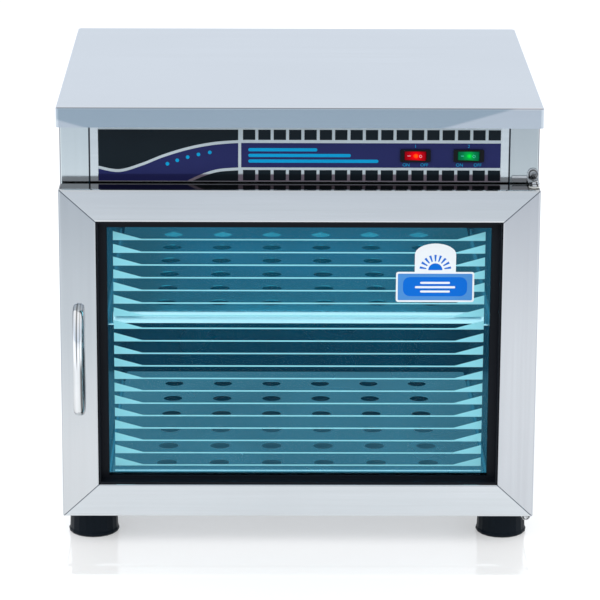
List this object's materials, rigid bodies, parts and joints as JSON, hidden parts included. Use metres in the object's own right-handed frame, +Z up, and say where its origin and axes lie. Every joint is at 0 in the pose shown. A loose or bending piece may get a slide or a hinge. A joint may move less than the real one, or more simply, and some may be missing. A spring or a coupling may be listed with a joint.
{
  "type": "ultraviolet sterilizer cabinet",
  "caption": "Countertop ultraviolet sterilizer in stainless sheet: glazed side-hinged door, bow handle, lift-out perforated shelves, lamp under the ceiling, rocker switches in the header.",
  "frame": {"origin": "centre of the footprint on the surface the feet stand on", "axes": "+X to the right seen from the front, +Y to the back, +Z up; the door faces -Y"},
  "size_m": [0.49, 0.441, 0.466],
  "materials": {
    "polished_steel": "polished stainless sheet, light wipe marks",
    "satin_steel": "satin stainless sheet",
    "chrome": "bright plated",
    "zinc": "zinc plated",
    "rubber": "matt black rubber",
    "black_plastic": "fine satin",
    "white_plastic": "satin",
    "door_glass": "clear float glass, tinted look from the lamp behind it",
    "lamp_glass": "clear quartz tube",
    "overlay_film": "printed film, semi-gloss",
    "red_rocker": "translucent red, lit",
    "green_rocker": "translucent green, lit"
  },
  "bodies": {
    "cabinet": {"top_lid": "polished_steel", "left_side_panel": "polished_steel", "right_side_panel": "polished_steel", "control_fascia": "polished_steel", "left_liner": "polished_steel", "right_liner": "polished_steel", "back_liner": "polished_steel", "chamber_ceiling": "polished_steel", "lamp_reflector": "polished_steel", "back_panel": "satin_steel", "bottom_panel": "satin_steel", "left_upper_rail": "satin_steel", "right_upper_rail": "satin_steel", "left_lower_rail": "satin_steel", "right_lower_rail": "satin_steel", "top_hinge_bracket": "chrome", "bottom_hinge_bracket": "chrome", "top_pivot_screw": "chrome", "bottom_pivot_screw": "chrome", "top_bracket_screw": "zinc", "bottom_bracket_screw": "zinc", "ballast": "zinc", "front_left_foot_bolt": "zinc", "front_right_foot_bolt": "zinc", "rear_left_foot_bolt": "zinc", "rear_right_foot_bolt": "zinc", "cord_gland": "rubber", "front_left_foot": "rubber", "front_right_foot": "rubber", "rear_left_foot": "rubber", "rear_right_foot": "rubber", "power_switch_body": "black_plastic", "lamp_switch_body": "black_plastic", "door_switch_body": "black_plastic", "magnet_catch": "black_plastic", "terminal_block": "black_plastic", "left_lamp_holder": "white_plastic", "right_lamp_holder": "white_plastic", "starter_socket": "white_plastic", "starter": "white_plastic", "fascia_overlay": "overlay_film"},
    "door": {"door_top_rail": "polished_steel", "door_bottom_rail": "polished_steel", "door_left_stile": "polished_steel", "door_right_stile": "polished_steel", "door_back_frame": "polished_steel", "glazing_gasket": "rubber", "door_glass": "door_glass", "door_seal": "rubber", "door_handle": "chrome", "upper_handle_screw": "zinc", "lower_handle_screw": "zinc", "top_hinge_bush": "white_plastic", "bottom_hinge_bush": "white_plastic"},
    "power_rocker": {"power_rocker": "red_rocker"},
    "lamp_rocker": {"lamp_rocker": "green_rocker"},
    "switch_plunger": {"door_switch_plunger": "white_plastic"},
    "upper_shelf": {"upper_shelf": "polished_steel"},
    "lower_shelf": {"lower_shelf": "polished_steel"},
    "uv_lamp": {"uv_lamp": "lamp_glass"}
  },
  "joints": [
    {"name": "door_hinge", "type": "hinge", "parent": "cabinet", "child": "door", "pos_m": [0.2375, -0.1795, 0.2], "axis": [0, 0, 1], "range_deg": [0, 120]},
    {"name": "power_rocker_tilt", "type": "hinge", "parent": "cabinet", "child": "power_rocker", "pos_m": [0.1175, -0.16205, 0.4105], "axis": [0, 0, 1], "range_deg": [0, 16]},
    {"name": "lamp_rocker_tilt", "type": "hinge", "parent": "cabinet", "child": "lamp_rocker", "pos_m": [0.1716, -0.16205, 0.4105], "axis": [0, 0, 1], "range_deg": [0, 16]},
    {"name": "switch_plunger_slide", "type": "slide", "parent": "cabinet", "child": "switch_plunger", "axis": [0, -1, 0], "range_m": [0, 0.004]},
    {"name": "upper_shelf_lift", "type": "slide", "parent": "cabinet", "child": "upper_shelf", "axis": [0, 0, 1], "range_m": [0, 0.06]},
    {"name": "lower_shelf_lift", "type": "slide", "parent": "cabinet", "child": "lower_shelf", "axis": [0, 0, 1], "range_m": [0, 0.1]},
    {"name": "lamp_twist", "type": "hinge", "parent": "cabinet", "child": "uv_lamp", "pos_m": [0, 0.0135, 0.342], "axis": [1, 0, 0], "range_deg": [0, 90]}
  ],
  "couplings": [
    {"joint": "switch_plunger_slide", "follows": "door_hinge", "m_per_rad": 0.0019}
  ]
}
